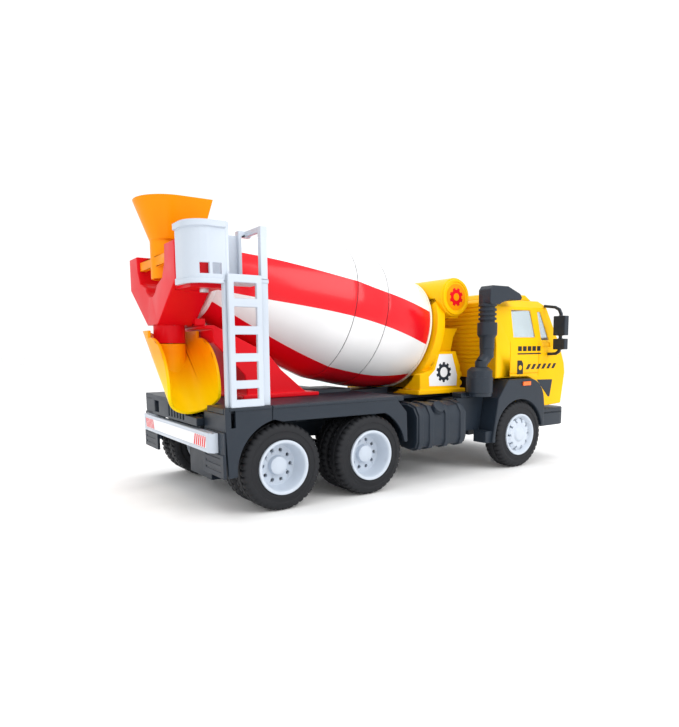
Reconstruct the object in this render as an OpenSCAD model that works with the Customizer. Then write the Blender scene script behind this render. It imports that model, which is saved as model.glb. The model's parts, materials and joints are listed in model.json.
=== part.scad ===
// Toy cement mixer truck: 6x4 chassis, tilted mixing drum, swinging chute,
// friction motor on the rear axle.
// +X is the truck's front, +Y its left side, +Z up. The origin is on the
// ground, in the middle of the length and of the width.

/* [Wheels and axles] */
// Tyre diameter
tyre_d = 40; // [39:0.5:41]
// Width of one tyre
tyre_w = 11.4; // [10.5:0.1:11.6]
// Rim diameter, which is also the hole in the tyre
rim_d = 25; // [23:0.5:27]
// Distance between the outer faces of the left and right tyres
track_outer = 115.2; // [114:0.2:116]
// Gap between the two tyres of a pair
dual_gap = 1.2; // [0.8:0.1:2]
// Position of the rear axle
rear_axle_x = -84.5; // [-85:0.5:-84]
// Distance from the rear axle to the middle axle
tandem_pitch = 49.5; // [49:0.5:50]
// Distance from the rear axle to the front axle
wheelbase = 162.7; // [162:0.1:163.5]
// Axle rod diameter
axle_d = 3; // [2.5:0.1:3.4]

/* [Chassis] */
// Height of the deck's top face
deck_z = 48.4; // [48:0.1:48.6]
// Half the width over the rear fender skirts
skirt_y = 57.4; // [56.5:0.1:58]

/* [Drum] */
// Angle of the drum's axis above the horizontal
drum_tilt = 12.5; // [12:0.1:13]
// Diameter of the belly
belly_d = 77.4; // [75:0.2:78]
// Diameter of the front flange
flange_d = 66; // [64:0.5:68]
// Diameter of the rear end
neck_d = 40; // [38:0.5:41]
// Length along the axis
drum_l = 130; // [128:0.5:130.5]
// Wall thickness of the moulded drum shells
drum_wall = 1.6; // [1.2:0.1:2.2]

/* [Discharge] */
// Diameter of the discharge nozzle
nozzle_d = 15; // [14:0.2:15.4]
// Outer width of the chute
chute_w = 25; // [24:0.2:25.4]
// Slope of the chute below the horizontal
chute_slope = 43; // [42:0.5:44]

/* [Cab] */
// Half the width of the cab at the belt line
cab_y = 53; // [52.5:0.1:53.4]
// Height of the cab's roof panel
roof_z = 101.5; // [100.5:0.1:102]
// Wall thickness of the cab
cab_wall = 1.6; // [1.2:0.1:2]

/* [Friction motor] */
// Gear module
gear_module = 0.6; // [0.6]
// Teeth of the large gears
gear_teeth = 24; // [24]
// Teeth of the pinions
pinion_teeth = 12; // [12]

/* [Hidden] */
$fn = 48;

// Running clearance on a radius, and the same for faces that slide past each other
fit = 0.05;
gap = 0.3;
eps = 0.01;

axle_z = tyre_d / 2;
mid_axle_x = rear_axle_x + tandem_pitch;
front_axle_x = rear_axle_x + wheelbase;
wheel_y = track_outer / 2;
arch_r = tyre_d / 2 + 1.4;

// Two frame rails run the length of the truck
rail_y = 15;
rail_w = 3;
rail_z0 = 26;
rail_z1 = 42;
frame_x0 = -110;
frame_x1 = 101.6;

// The drum's frame: its own +Z runs up the axis from the front flange
flange_x = 27.7;
flange_z = 81.4;
front_cone_l = 38;
belly_l = 21;
shaft_d = 4;
journal_d = 8;

// The swivel axis of the chute
swivel_x = -115.5;
nozzle_z0 = 76.3;
nozzle_z1 = 85;
collector_x0 = -123.6;
collector_x1 = -105.6;

// Colours
slate = [0.13, 0.16, 0.20];
cab_yellow = [1.0, 0.76, 0.02];
mixer_red = [0.89, 0.02, 0.05];
hopper_orange = [1.0, 0.55, 0.0];
silver = [0.82, 0.85, 0.88];
tyre_black = [0.10, 0.11, 0.12];
steel = [0.70, 0.71, 0.73];

// ---- shared shapes ----

// A block given by its limits
module block(x0, x1, y0, y1, z0, z1) {
    translate([x0, y0, z0]) cube([x1 - x0, y1 - y0, z1 - z0]);
}

// An outline in the XZ plane, drawn out from y0 to y1
module side_plate(outline, y0, y1) {
    translate([0, y1, 0]) rotate([90, 0, 0]) linear_extrude(y1 - y0) polygon(outline);
}

// An outline in the YZ plane, drawn out from x0 to x1
module end_plate(outline, x0, x1) {
    translate([x0, 0, 0]) rotate([90, 0, 90]) linear_extrude(x1 - x0) polygon(outline);
}

// A round rod along Y
module y_rod(x, z, d, y0, y1) {
    translate([x, y0, z]) rotate([-90, 0, 0]) cylinder(d = d, h = y1 - y0);
}

// A round rod along X
module x_rod(y, z, d, x0, x1) {
    translate([x0, y, z]) rotate([0, 90, 0]) cylinder(d = d, h = x1 - x0);
}

// A round rod between two points in the same plane y
module slant_rod(x0, z0, x1, z1, y, d) {
    length = norm([x1 - x0, z1 - z0]);
    translate([x0, y, z0]) rotate([0, atan2(x1 - x0, z1 - z0), 0]) cylinder(d = d, h = length);
}

// A shape and its mirror image on the other side of the truck
module both_sides() {
    children();
    mirror([0, 1, 0]) children();
}

// An arc's points, for outlines
function arc(cx, cz, r, a0, a1, steps) =
    [for (i = [0 : steps]) [cx + r * cos(a0 + (a1 - a0) * i / steps), cz + r * sin(a0 + (a1 - a0) * i / steps)]];

// Moves a shape from the drum's own frame into the truck's
module on_drum_axis() {
    translate([flange_x, 0, flange_z]) rotate([0, drum_tilt - 90, 0]) children();
}

// ---- chassis ----

module chassis_frame() {
    cross_xs = [-108, -62, -12, 16, 46, 99.6];
    color(slate) difference() {
        union() {
            both_sides() block(frame_x0, frame_x1, -rail_y - rail_w, -rail_y, rail_z0, rail_z1);
            for (x = cross_xs) block(x - 2, x + 2, -rail_y, rail_y, 36, rail_z1);
            // Bosses for the cover's screws
            for (p = screw_places()) translate([p[0], p[1], p[2] + 1.7]) cylinder(d = 5, h = 6.5);
            // Hangers that carry the axles
            for (x = [rear_axle_x, mid_axle_x, front_axle_x])
                both_sides() side_plate(
                    [[x - 7, rail_z0 + 1], [x - 4, axle_z - 4.5], [x + 4, axle_z - 4.5], [x + 7, rail_z0 + 1]],
                    -rail_y - rail_w - 2, -rail_y);
            // Outriggers for the side tanks, and the front subframe
            both_sides() block(4, 28, -41, -rail_y - rail_w + eps, 33, 39);
            both_sides() block(36, 58, -46, -rail_y - rail_w + eps, 24, 43.5);
            block(30, 58, -rail_y, rail_y, rail_z1 - 6, rail_z1);
            // Cross beam behind the front bumper
            block(99, 109, -36, 36, 24, 33);
            // Pads under the deck
            both_sides() block(-104, -98, -30, -rail_y - rail_w + eps, 36, 42);
            both_sides() block(-62, -56, -30, -rail_y - rail_w + eps, 36, 42);
            both_sides() block(-22, -14, -30, -rail_y - rail_w + eps, 36, 42);
            // Posts that carry the cab's floor
            both_sides() block(66, 72, -30, -rail_y - rail_w + eps, 36, 53);
        }
        for (x = [rear_axle_x, mid_axle_x, front_axle_x])
            y_rod(x, axle_z, axle_d + 2 * fit, -30, 30);
        // Pilot holes for the screws
        for (p = screw_places()) translate([p[0], p[1], p[2] - 1]) cylinder(d = 1.6, h = 10);
    }
}

// Screws that come up through the underside cover: x, y and the height of the head's face
function screw_places() = [for (x = [-108, -12, 46], y = [-7, 7]) [x, y, 28]];
// Screw that comes up through the collector's flange into the platform
flange_screw = [-113, -41, 99.4];

module underside_cover() {
    color(slate) difference() {
        union() {
            block(-102, -52.5, -rail_y + gap, rail_y - gap, 8.6, 10);
            block(-112, -100.5, -rail_y + gap, rail_y - gap, 28, 29.7);
            block(-54, 52, -rail_y + gap, rail_y - gap, 28, 29.7);
            // Ribs along the underside
            for (x = [-50 : 12 : 46]) block(x, x + 1.2, -rail_y + gap, rail_y - gap, 26.6, 28 + eps);
            // Walls of the motor tray
            block(-102, -100.5, -rail_y + gap, rail_y - gap, 8.6, 28 + eps);
            block(-54, -52.5, -rail_y + gap, rail_y - gap, 8.6, 28 + eps);
        }
        for (p = screw_places()) {
            translate([p[0], p[1], p[2] - 5]) cylinder(d = 2.2, h = 12);
            // Room for the head between the ribs
            translate([p[0], p[1], p[2] - 5]) cylinder(d = 4.6, h = 5);
        }
    }
}

module screws() {
    color(steel) for (p = concat(screw_places(), [flange_screw])) translate(p) {
        difference() {
            translate([0, 0, -1.6]) cylinder(d = 4, h = 1.6);
            for (a = [0, 90]) rotate(a) translate([-1.3, -0.25, -2]) cube([2.6, 0.5, 1.1]);
        }
        translate([0, 0, -eps]) cylinder(d = 1.6, h = p == flange_screw ? 3.2 : 8);
    }
}

module rear_deck() {
    color(slate) difference() {
        union() {
            block(-112, -12, -skirt_y + 2, skirt_y - 2, deck_z - 2.6, deck_z);
            block(-16, 58, -30, 30, deck_z - 4.6, deck_z - 2.6);
            // Raised spine under the drum, lower where the drum hangs down
            block(-40, -16, -13, 13, deck_z - 2.6, deck_z + 2);
            block(-16 - eps, 14, -10, 10, deck_z - 2.6, deck_z + 0.3);
            // Bosses down to the frame's pads
            for (x = [-101, -59, -18]) both_sides() block(x - 2.5, x + 2.5, -28, -22, 42, deck_z - 2.6 + eps);
            for (x = [-101, 36]) block(x - 3, x + 3, -rail_y - 1, rail_y + 1, 42, deck_z - 2.6);
        }
        // Corner cut-out that the end of the chute hangs in
        block(-113, -104.2, -37, -17.6, 40, deck_z + 1);
    }
}

// One fender skirt over the two rear wheel pairs, on the truck's right
module skirt() {
    tread_top = tyre_d + 0.8;
    outline = concat(
        [[-112, deck_z], [-112, 40], [-111, 18]],
        arc(rear_axle_x, axle_z, arch_r + 1, 184, 100, 14),
        [[rear_axle_x, tread_top]],
        arc(mid_axle_x, axle_z, arch_r + 1, 66, 12, 10),
        [[-11, 24.5], [-11.6, 40], [-19.5, deck_z]]);
    color(slate) difference() {
        union() {
            side_plate(outline, -skirt_y, -skirt_y + 1.6);
            // Inward lips at both ends, behind and ahead of the wheels
            block(-112, -110.4, -skirt_y + 1.6 - eps, -33, 24, deck_z - 2.6);
            side_plate([[-13, 24.5], [-11, 24.5], [-11.6, 40], [-13.2, 40]], -skirt_y + 1.6 - eps, -33);
            // Top edge ribs
            block(-110, -20, -skirt_y - 0.5, -skirt_y + eps, deck_z - 1.4, deck_z - 0.4);
            for (z = [26 : 3.4 : 38]) block(-12.6, -10.4, -skirt_y + 2, -35, z, z + 1.2);
        }
        // Lamp slot near the rear corner
        block(-109.4, -107.4, -60, -50, 39.8, 47.2);
        // Joint line between the rear and front mouldings
        block(-90, -89.5, -60, -skirt_y + 0.5, 30, 60);
    }
}
module skirt_right() skirt();
module skirt_left() mirror([0, 1, 0]) skirt();

module tail_beam() {
    color(slate) difference() {
        union() {
            block(-115.6, -112, -18.6, 33, 38.6, deck_z + 0.6);
            block(-115.6, -112, -33, 33, 38.6, 42.4);
            // Lugs that carry the bumper
            for (y = [-26, 26]) block(-112.6, -112, y - 4, y + 4, 29, 38.7);
        }
        for (y = [-16.6 : 4.2 : 4.4]) block(-116, -113.4, y, y + 1.8, 40, 46.5);
        block(-116, -113.4, 22, 29, 40.2, 46.2);
    }
}

module rear_bumper() {
    corner = 3.7;
    face_x = -112.6;
    half = 50.5;
    outline = concat(
        arc(face_x, half - corner, corner, 90, 180, 8),
        arc(face_x, corner - half, corner, 180, 270, 8));
    color(silver) difference() {
        translate([0, 0, 28.5]) linear_extrude(8.8) polygon(outline);
        // Recess for the hazard band
        block(-118, -116.05, -45, 45, 30, 35.8);
    }
}

module mud_flaps() {
    color(slate) both_sides() difference() {
        union() {
            block(-113.4, -112, -57, -34, 18.1, 28.3);
            block(-112.6, -112, -57, -34, 28.2, 38);
        }
        for (z = [20.5 : 3 : 27]) block(-113.5, -113.1, -54, -37, z, z + 1);
    }
}

// A strapped tank on the truck's right
module side_tank() {
    outline = [[-41, 19.5], [-50, 18.4], [-54, 19.6], [-55.4, 23], [-55.4, 36.5], [-52.5, 41], [-47, 42.6], [-41, 42.6]];
    band = [for (p = outline) [p[0] < -41.5 ? p[0] - 0.9 : p[0], p[1] > 30 ? p[1] + 0.8 : p[1] - 0.8]];
    color(slate) union() {
        end_plate(outline, -3, 34.4);
        for (x = [-2, 5.6, 17.2, 28.8]) end_plate(band, x, x + 3.2);
        // Filler cap
        translate([13, -51.5, 38]) rotate([50, 0, 0]) cylinder(d = 7, h = 5.2);
    }
}
module side_tank_right() side_tank();
module side_tank_left() mirror([0, 1, 0]) side_tank();

// Front fender on the truck's right, an arch round the wheel
module front_fender() {
    outline = concat(
        [[53.8, 17], [58.6, 43], [67.2, 53.6]],
        arc(87, 39.6, 14, 90, 10, 7),
        [[101.6, 36], [101.2, 23.6]],
        arc(front_axle_x, axle_z, arch_r, 10, 188, 20));
    color(slate) union() {
        side_plate(outline, -57.8, -46);
        // Step beside the rear leg
        block(50, 55, -56, -46, 17, 24);
    }
}
module front_fender_right() front_fender();
module front_fender_left() mirror([0, 1, 0]) front_fender();

module front_bumper() {
    corner = 8;
    front_x = 130;
    plan = concat(
        [[109, -50], [103, -50], [103, -54]],
        arc(front_x - corner, -54 + corner, corner, -90, 0, 8),
        arc(front_x - corner, 54 - corner, corner, 0, 90, 8),
        [[103, 54], [103, 50], [109, 50]]);
    color(slate) difference() {
        translate([0, 0, 22.3]) linear_extrude(11.2) polygon(plan);
        // Lower air slot and lamp pockets
        block(127, 131, -20, 20, 24.6, 29);
        both_sides() x_rod(-38, 27.9, 8, 126.5, 131);
        // Groove round the bumper
        difference() {
            block(100, 131, -56, 56, 30.4, 31);
            block(100, 129.2, -53.4, 53.4, 30, 31.4);
        }
    }
}

module reflectors() {
    color([1.0, 0.35, 0.1]) both_sides() block(79.5, 86.5, -58.7, -57.8, 49.6, 52);
}

// ---- cab ----

// The cab's side outline, set in by t
function cab_side(t) = concat(
    [[61 + t, 54.4 + t], [61 + t, roof_z - 2 - t], [63 + t, roof_z - t], [107.6 - t, roof_z - t],
     [111 - t, 99 - t], [120.6 - t, 76.5], [127 - t, 62], [128 - t, 56], [124.6 - t, 36 + t],
     [102.6 + t, 35 + t]],
    [for (p = arc(87, 39.6, 15.2, 8, 78, 6)) [p[0] + t * 0.7, p[1] + t * 0.7]]);

// The cab's front outline, set in by t, narrower at the roof
function cab_front(t) = [
    [-cab_y + t, 30], [-cab_y + t, 74], [-cab_y + 3.4 + t, 97], [-cab_y + 7 + t, roof_z - t],
    [cab_y - 7 - t, roof_z - t], [cab_y - 3.4 - t, 97], [cab_y - t, 74], [cab_y - t, 30]];

module cab_body(t) {
    intersection() {
        side_plate(cab_side(t), -cab_y, cab_y);
        end_plate(cab_front(t), 50, 140);
    }
}

door_window = [[77.5, 78.6], [77.5, 95], [95.2, 95], [97.8, 78.6]];
quarter_window = [[103.6, 77], [102.1, 94.4], [105, 94.4], [110.8, 77]];
// The windscreen lies in the cab's sloping front
windscreen_bottom = [119.5, 79.1];
windscreen_lean = atan2(9.6, 22.5);
windscreen_h = 19.4;
windscreen_y = 45;

module cab_shell() {
    color(cab_yellow) difference() {
        cab_body(0);
        cab_body(cab_wall);
        // The floor is open behind the fenders
        block(64, 100, -40, 40, 50, 60);
        for (w = [door_window, quarter_window]) side_plate(w, -60, 60);
        // Windscreen opening
        translate([windscreen_bottom[0], 0, windscreen_bottom[1]])
            rotate([0, -windscreen_lean, 0]) block(-8, 8, -windscreen_y, windscreen_y, 0, windscreen_h);
        // Corrugated rear wall
        for (z = [62.5 : 2.6 : 97]) block(60, 61.5, -44, 44, z, z + 0.8);
        // Door shut lines
        for (x = [73.5, 100.2]) both_sides() block(x, x + 0.4, -54, -cab_y + 0.4, 55, 76);
        both_sides() block(73.5, 100.6, -54, -cab_y + 0.4, 56.4, 56.8);
        // Seat for the grille
        block(125.6, 130, -34, 34, 42, 58);
        // Intake at the quarter window's foot
        side_plate([[104, 72.6], [104, 75.6], [111, 75.6], [112.2, 72.6]], -54, -cab_y + 0.8);
    }
}

module cab_roof() {
    outline = [[65, roof_z], [67.5, 104.4], [70, 105.2], [99, 105.2], [105.5, roof_z]];
    color(cab_yellow) difference() {
        side_plate(outline, -43, 43);
        side_plate([[68, roof_z - 1], [70, 103.6], [98, 103.6], [102, roof_z - 1]], -41, 41);
        for (y = [-30, -10, 10, 30]) block(72, 97, y - 0.4, y + 0.4, 104.7, 106);
    }
}

module windscreen() {
    color([0.85, 0.92, 0.97, 0.4])
        translate([windscreen_bottom[0], 0, windscreen_bottom[1]])
            rotate([0, -windscreen_lean, 0])
                block(-1.4, -0.3, -windscreen_y, windscreen_y, 0, windscreen_h);
}

module side_windows() {
    color([0.85, 0.92, 0.97, 0.4]) both_sides() {
        intersection() {
            union() {
                side_plate(door_window, -54, -40);
                side_plate(quarter_window, -54, -40);
            }
            difference() {
                cab_body(0.4);
                cab_body(1.4);
            }
        }
    }
}

module cab_seats() {
    color([0.15, 0.15, 0.17]) union() {
        // Floor pan that plugs the open bottom of the cab
        block(64.3, 99.7, -39.7, 39.7, 53, 56);
        for (y = [-24, 24]) {
            block(68, 84, y - 11, y + 11, 56 - eps, 64);
            side_plate([[65.5, 60], [68.5, 60], [67.5, 84], [64.5, 84]], y - 11, y + 11);
            side_plate([[64.6, 83.9], [67.5, 83.9], [67.2, 90], [65, 90]], y - 5.5, y + 5.5);
        }
        // Dashboard
        side_plate([[99.6, 56 - eps], [99.6, 66], [103.5, 74], [113, 75], [113, 62], [99.6, 53]], -44, 44);
    }
}

module steering_wheel() {
    color([0.1, 0.1, 0.11]) translate([98, 24, 76]) rotate([0, -55, 0]) union() {
        rotate_extrude() translate([7.2, 0]) circle(d = 1.8);
        for (a = [0, 120, 240]) rotate(a) translate([0, -0.7, -0.5]) cube([6.6, 1.4, 1]);
        translate([0, 0, -5.7]) cylinder(d = 2.4, h = 6.2);
    }
}

module front_grille() {
    color(slate) union() {
        difference() {
            side_plate([[125.6, 42.3], [125.6, 57.7], [128.6, 57.7], [128.9, 55], [127.2, 42.3]], -33.7, 33.7);
            for (z = [44 : 3.4 : 56]) block(127.2, 131, -31, 31, z, z + 1.5);
        }
        for (y = [-20, 0, 20]) block(125.6, 127.8, y - 0.8, y + 0.8, 43, 57);
    }
}

module headlamps() {
    color([0.95, 0.95, 0.9]) both_sides() {
        x_rod(-38, 27.9, 7.6, 126.5, 128.4);
        translate([128.4 - eps, -38, 27.9]) rotate([0, 90, 0]) cylinder(d1 = 7.6, d2 = 5, h = 0.9);
    }
}

// Intake stack behind the cab's right corner
stack_x = 54;
stack_y = -52;
module intake_stack() {
    color(slate) difference() {
        union() {
            translate([stack_x, stack_y, 72]) cylinder(d = 8.6, h = 30);
            for (z = [88.4 : 2.6 : 97.5]) translate([stack_x, stack_y, z]) cylinder(d = 10.4, h = 1.4);
            translate([stack_x, stack_y, 80]) cylinder(d = 11.4, h = 7);
            translate([stack_x, stack_y, 78]) cylinder(d1 = 8.6, d2 = 11.4, h = 2 + eps);
            // Elbow down to the filter
            translate([stack_x, stack_y, 66.6]) cylinder(d = 8, h = 6);
            slant_rod(stack_x, 68, stack_x - 4.6, 63.4, stack_y, 7);
            translate([stack_x - 4.6, stack_y, 61.4]) cylinder(d = 7, h = 3.6);
            // Horn
            side_plate([[49.8, 98.6], [49.8, 105.6], [51.6, 107.8], [65, 107.8], [75.6, 104], [77.4, 102], [76.6, 100.2],
                [66, 100], [60, 98.4], [58, 97.2], [50.6, 97.2]], -57.8, -48.8);
        }
        // Mouth of the horn
        side_plate([[68, 101.2], [68, 103.4], [74.6, 102.8], [80, 102.2], [80, 101.2]], -56.2, -50.4);
    }
}

module air_filter() {
    color(slate) union() {
        translate([50, -50.4, 44.4]) cylinder(d = 14.4, h = 15);
        translate([50, -50.4, 46.6]) cylinder(d = 15.4, h = 9);
        translate([50, -50.4, 59.4 - eps]) cylinder(d1 = 14.4, d2 = 10, h = 2);
        // Bracket to the frame
        block(40, 50, -46, -38, 43.5, 46.5);
    }
}

// Mirror on the truck's right: one bent arm from the roof's corner to the belt line, and two heads
module mirror_unit() {
    outer = [[-49.3, 99.2], [-57.6, 98], [-61, 96.2], [-62.6, 93], [-62.6, 72], [-61.6, 69], [-59, 67.5], [-cab_y, 67.2]];
    inner = [[-cab_y, 69], [-58.6, 69.3], [-60.2, 70.3], [-60.8, 72], [-60.8, 92.6], [-59.8, 94.8], [-57.2, 96.3], [-49.3, 97.4]];
    color(slate) union() {
        end_plate(concat(outer, inner), 108.7, 110.5);
        block(107.6, 111.6, -66, -57.6, 79.6, 91.6);
        block(107.8, 111.4, -66, -57.6, 71, 77.6);
    }
}
module mirror_right() mirror_unit();
module mirror_left() mirror([0, 1, 0]) mirror_unit();

// ---- drum ----

// Radius of the drum's outside at distance s along the axis, slightly crowned cones
function drum_r(s) =
    s <= front_cone_l ? flange_d / 2 - 0.6 + (belly_d - flange_d + 1.2) / 2 * sin(90 * s / front_cone_l) :
    s <= front_cone_l + belly_l ? belly_d / 2 :
    let (k = (s - front_cone_l - belly_l) / (drum_l - front_cone_l - belly_l))
    belly_d / 2 + (neck_d - belly_d) / 2 * k + 1.6 * sin(180 * k);

// A shell of the drum between s0 and s1
module drum_shell(s0, s1, steps) {
    outer = [for (i = [0 : steps]) let (s = s0 + (s1 - s0) * i / steps) [drum_r(s), s]];
    inner = [for (i = [steps : -1 : 0]) let (s = s0 + (s1 - s0) * i / steps) [drum_r(s) - drum_wall, s]];
    rotate_extrude($fn = 96) polygon(concat(outer, inner));
}

module drum_front() {
    color("white") on_drum_axis() difference() {
        union() {
            drum_shell(0, front_cone_l - 0.15, 8);
            // Front wall, flange lip and shaft boss
            cylinder(d = flange_d - 2, h = 2, $fn = 96);
            difference() {
                translate([0, 0, 0]) cylinder(d = flange_d + 0.8, h = 1.6, $fn = 96);
                translate([0, 0, -1]) cylinder(d = flange_d - 4, h = 4, $fn = 96);
            }
            cylinder(d = 12, h = 12);
        }
        translate([0, 0, -1]) cylinder(d = shaft_d, h = 12);
    }
}

// A ring inside the belly that reaches into the neighbouring cone; out is the side it points to
module spigot(s, out) {
    inner = belly_d / 2 - drum_wall;
    reach = 2.4;
    tip = drum_r(s + out * reach) - drum_wall - 0.1;
    rotate_extrude($fn = 96) polygon([
        [inner - 1.8, s - out * reach], [inner + eps, s - out * reach], [inner + eps, s - out * 0.15],
        [tip, s - out * 0.15], [tip, s + out * reach], [inner - 1.8, s + out * reach]]);
}

module drum_belly() {
    color("white") on_drum_axis() union() {
        drum_shell(front_cone_l + 0.15, front_cone_l + belly_l - 0.15, 1);
        // The two cones are located on spigots
        spigot(front_cone_l, -1);
        spigot(front_cone_l + belly_l, 1);
    }
}

module drum_rear() {
    color("white") on_drum_axis() union() {
        drum_shell(front_cone_l + belly_l + 0.15, drum_l, 8);
        // Rolled edge, rear wall and journal
        difference() {
            translate([0, 0, drum_l - 3]) cylinder(d = neck_d + 2.4, h = 3, $fn = 96);
            translate([0, 0, drum_l - 4]) cylinder(d = neck_d - 3, h = 5, $fn = 96);
        }
        translate([0, 0, drum_l - 3]) cylinder(d = neck_d - 2, h = 1.6, $fn = 96);
        translate([0, 0, drum_l - 3]) cylinder(d = journal_d, h = 10.4);
    }
}

module drum_shaft() {
    color(steel) on_drum_axis() translate([0, 0, -11.6]) cylinder(d = shaft_d, h = 22.1);
}

module shaft_bush() {
    color([0.85, 0.85, 0.8]) on_drum_axis() difference() {
        union() {
            translate([0, 0, -11]) cylinder(d = 8, h = 10.4);
            translate([0, 0, -2]) cylinder(d = 11, h = 1.4);
        }
        translate([0, 0, -12]) cylinder(d = shaft_d + 2 * fit, h = 14);
    }
}

// ---- mixer frame ----

tank_x = 44.6;
tank_z = 102.4;
tank_d = 22.4;

module front_pedestal() {
    color(cab_yellow) difference() {
        union() {
            // Base flange and block
            block(16, 54, -35.8, 35.8, deck_z - 2.6, deck_z);
            side_plate([[18, deck_z - eps], [18, 57.6], [28, 60], [32, 70.6], [46.6, 70.6], [50.6, 61.4], [50.6, deck_z - eps]],
                -34.6, 34.6);
            // Round shroud in front of the drum's flange
            on_drum_axis() translate([0, 0, -7.4]) cylinder(d = flange_d + 7, h = 6.2, $fn = 96);
            // Shoulders and the cheeks that hold the tank
            side_plate([[32, 70], [38, 92], [38, 100], [53.5, 100], [53.5, 92], [52.5, 90.4], [52.5, 84.4], [48.6, 78], [46.6, 70]],
                -30, 30);
        }
        // The tank's saddle
        y_rod(tank_x, tank_z, tank_d, -40, 40);
        // The shroud stops at the tank's saddle
        block(10, 60, -40, 40, 100, 120);
        // Slot under the tank
        block(41.5, 60, -40, 40, 84.4, 90.4);
        // Space for the drum
        on_drum_axis() translate([0, 0, -1.2]) cylinder(d = 78, h = 60, $fn = 96);
        // Bush seat and a hollow underside
        on_drum_axis() translate([0, 0, -12]) cylinder(d = 8, h = 12);
        on_drum_axis() translate([0, 0, -2]) cylinder(d = 11, h = 3);
        block(21, 47.6, -31.6, 31.6, 40, 56);
        block(10, 60, -40, 40, 40, deck_z - 2.6);
        // Access recess in the front face
        block(48, 60, -20, 20, 52, 66);
    }
    // Hinge-like lugs on the front edge
    color(cab_yellow) both_sides() for (z = [51.4, 56.4])
        x_rod(-32, z, 4, 50.6 - eps, 52.6);
}

module water_tank() {
    color(cab_yellow) difference() {
        union() {
            y_rod(tank_x, tank_z, tank_d, -35, 35);
            for (y = [-36.4, 35 - eps]) y_rod(tank_x, tank_z, tank_d - 1.6, y, y + 1.4 + eps);
        }
        y_rod(tank_x, tank_z, tank_d - 5, -33, 33);
        // Panel recess in each end
        both_sides() y_rod(tank_x, tank_z, tank_d - 5, -37, -36);
    }
}

module rear_stand() {
    side = [[-84.5, deck_z], [-48.4, deck_z], [-65.4, 62.4], [-73, 71], [-101, 84.6], [-105, 84.6],
        [-105, 83], [-102, 82.6], [-101.4, 76], [-86, 60.5]];
    color(mixer_red) difference() {
        union() {
            side_plate(side, -22, 22);
            block(-88, -44, -24, 24, deck_z, deck_z + 2);
        }
        // The hollow between the two side walls
        side_plate([[-82, deck_z + 2], [-53, deck_z + 2], [-66.6, 61], [-74, 69.4], [-100, 80.8], [-84, 62]], -19.4, 19.4);
        // Clearance round the drum's rear cone
        on_drum_axis() rotate_extrude($fn = 96)
            polygon(concat([[0, 50]], [for (s = [50 : 10 : 130]) [drum_r(s) + 1.6, s]], [[drum_r(130) + 2.6, 131], [0, 134]]));
    }
}

// V-shaped collector with an open channel at the rear and the round nozzle below
module collector() {
    top_z = 120;
    outer = [[-35.4, top_z], [-35.4, 104], [-8, nozzle_z1], [8, nozzle_z1], [35.4, 104], [35.4, top_z]];
    notch = concat(
        [[-22, top_z + 1], [-21, 112], [-17.4, 106]],
        arc(0, 109, 10.6, 212, 328, 10),
        [[17.4, 106], [21, 112], [22, top_z + 1]]);
    color(mixer_red) difference() {
        union() {
            end_plate(outer, collector_x0, collector_x1);
            translate([swivel_x, 0, nozzle_z0]) cylinder(d = nozzle_d, h = nozzle_z1 - nozzle_z0 + 3);
            // Flange under the platform
            block(-121, collector_x1, -47, -28, 99.4, 101.6);
            // Tab that sits on the stand
            block(-107, -101.8, -13, 13, 84.6, 88);
            // Boss for the drum's journal
            on_drum_axis() translate([0, 0, drum_l + 0.8]) cylinder(d = 15, h = 8);
        }
        // Channel from the rear
        end_plate(notch, collector_x0 - 1, collector_x1 - 2.2);
        // Hollow sides, open at the top
        end_plate([[-33.4, top_z + 1], [-33.4, 105], [-24, 105.8], [-24, top_z + 1]], collector_x0 + 2, collector_x1 - 2.2);
        end_plate([[33.4, top_z + 1], [33.4, 105], [24, 105.8], [24, top_z + 1]], collector_x0 + 2, collector_x1 - 2.2);
        on_drum_axis() translate([0, 0, drum_l - 2]) cylinder(d = journal_d + 2 * fit, h = 14);
        // The drum's end face turns just ahead of the front wall
        on_drum_axis() translate([0, 0, drum_l - 12]) cylinder(d = neck_d + 5, h = 12.4, $fn = 96);
        translate([swivel_x, 0, nozzle_z0 - 1]) cylinder(d = 2, h = 9);
        // Screw hole in the flange
        translate(flange_screw - [0, 0, 1]) cylinder(d = 2.2, h = 6);
    }
}

// Orange charging hopper: a funnel on a neck, with a yoke across the collector
module hopper() {
    // The neck stands in the collector's channel
    neck_x = -115.4;
    yoke_x0 = -122.2;
    yoke_x1 = -108;
    color(hopper_orange) difference() {
        union() {
            hopper_form(0);
            // Neck and spout
            translate([neck_x, 0, 107]) cylinder(d = 15, h = 19);
            // Yoke that rests in the channel
            block(yoke_x0, yoke_x0 + 2.8, -21, 21, 112.6, 117);
            block(yoke_x0, yoke_x1, -8.4, 8.4, 112.6, 117);
        }
        hopper_form(1.4);
        translate([neck_x, 0, 100]) cylinder(d = 12.2, h = 30);
    }
}

// The funnel, set in by t: half a cone at the rear, flat walls at the sides and the front
module hopper_form(t) {
    centre_x = -113.4;
    foot_r = 9.5;
    rim_r = 16.6;
    foot_z = 125;
    rim_z = 143.6;
    front = [centre_x + foot_r, -99.1, -97.4];
    z0 = foot_z + t;
    z1 = rim_z + (t > 0 ? 1 : 0);
    slope = (rim_r - foot_r) / (rim_z - foot_z);
    r0 = foot_r + slope * (z0 - foot_z) - t;
    r1 = foot_r + slope * (z1 - foot_z) - t;
    union() {
        intersection() {
            translate([centre_x, 0, z0]) cylinder(r1 = r0, r2 = r1, h = z1 - z0);
            block(centre_x - 20, centre_x, -20, 20, z0 - 1, z1 + 1);
        }
        intersection() {
            end_plate([[-r0, z0], [r0, z0], [r1, z1], [-r1, z1]], centre_x, centre_x + 20);
            side_plate([[centre_x, z0], [front[0] - t, z0], [front[1] - t, 135], [front[2] - t, z1], [centre_x, z1]], -20, 20);
        }
    }
}

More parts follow.
